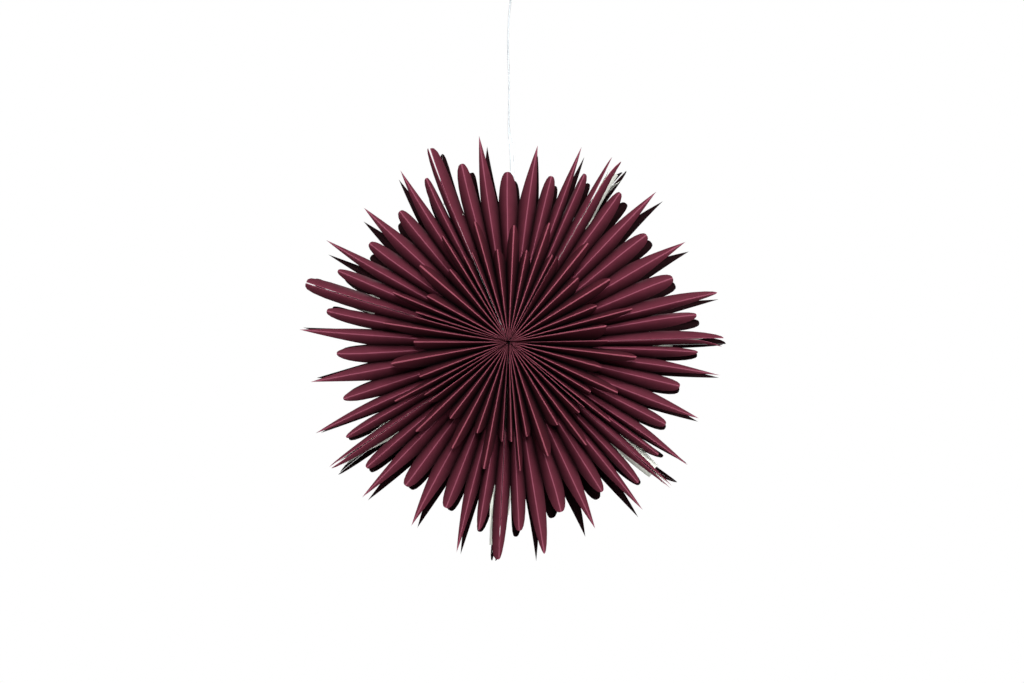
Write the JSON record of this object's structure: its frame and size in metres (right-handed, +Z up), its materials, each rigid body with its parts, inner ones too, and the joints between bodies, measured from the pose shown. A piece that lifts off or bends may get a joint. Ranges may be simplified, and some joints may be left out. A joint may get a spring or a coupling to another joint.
{
  "type": "paper star lamp",
  "caption": "Hanging star lamp of folded paper: pleated sections with pointed and round petals around a bulb on a flat cord.",
  "frame": {"origin": "in the ceiling plane, at the middle of the ceiling plate's upper face, straight above the star's centre", "axes": "+Z up, -Y towards the front of the star, +X to the right as seen from the front"},
  "size_m": [0.6021, 0.1668, 0.8634],
  "materials": {
    "burgundy_paper": "matt dyed paper, folded",
    "white_card": "uncoated pale card",
    "opal_bulb": "opal diffuser",
    "holder_plastic": "moulded, satin",
    "insert_plastic": "moulded, matt",
    "zinc_plated_steel": "zinc plated",
    "white_pvc": "extruded, smooth",
    "cup_plastic": "moulded, satin"
  },
  "bodies": {
    "root": {"front_outer_fan_1": "burgundy_paper", "front_outer_fan_2": "burgundy_paper", "front_outer_fan_3": "burgundy_paper", "front_outer_fan_4": "burgundy_paper", "front_outer_fan_5": "burgundy_paper", "front_outer_fan_6": "burgundy_paper", "front_outer_fan_7": "burgundy_paper", "front_inner_fan_1": "burgundy_paper", "front_inner_fan_2": "burgundy_paper", "front_inner_fan_3": "burgundy_paper", "front_inner_fan_4": "burgundy_paper", "front_inner_fan_5": "burgundy_paper", "front_inner_fan_6": "burgundy_paper", "front_inner_fan_7": "burgundy_paper", "back_outer_fan_1": "burgundy_paper", "back_outer_fan_2": "burgundy_paper", "back_outer_fan_3": "burgundy_paper", "back_outer_fan_4": "burgundy_paper", "back_outer_fan_5": "burgundy_paper", "back_outer_fan_6": "burgundy_paper", "back_outer_fan_7": "burgundy_paper", "back_inner_fan_1": "burgundy_paper", "back_inner_fan_2": "burgundy_paper", "back_inner_fan_3": "burgundy_paper", "back_inner_fan_4": "burgundy_paper", "back_inner_fan_5": "burgundy_paper", "back_inner_fan_6": "burgundy_paper", "back_inner_fan_7": "burgundy_paper", "side_wall_1a": "white_card", "side_wall_1b": "white_card", "side_wall_2a": "white_card", "side_wall_2b": "white_card", "side_wall_3a": "white_card", "side_wall_3b": "white_card", "side_wall_4a": "white_card", "side_wall_4b": "white_card", "side_wall_5a": "white_card", "side_wall_5b": "white_card", "side_wall_6a": "white_card", "side_wall_6b": "white_card", "side_wall_7a": "white_card", "side_wall_7b": "white_card", "bulb": "opal_bulb", "holder_shell": "holder_plastic", "holder_insert": "insert_plastic", "holder_cap": "holder_plastic", "holder_grip": "holder_plastic", "hanger_wire": "zinc_plated_steel", "seam_clips": "zinc_plated_steel", "pendant_cord": "white_pvc", "cup_grip": "holder_plastic", "grip_screw": "holder_plastic", "ceiling_cup": "cup_plastic", "ceiling_plate": "zinc_plated_steel", "terminal_block": "insert_plastic"}
  },
  "joints": []
}
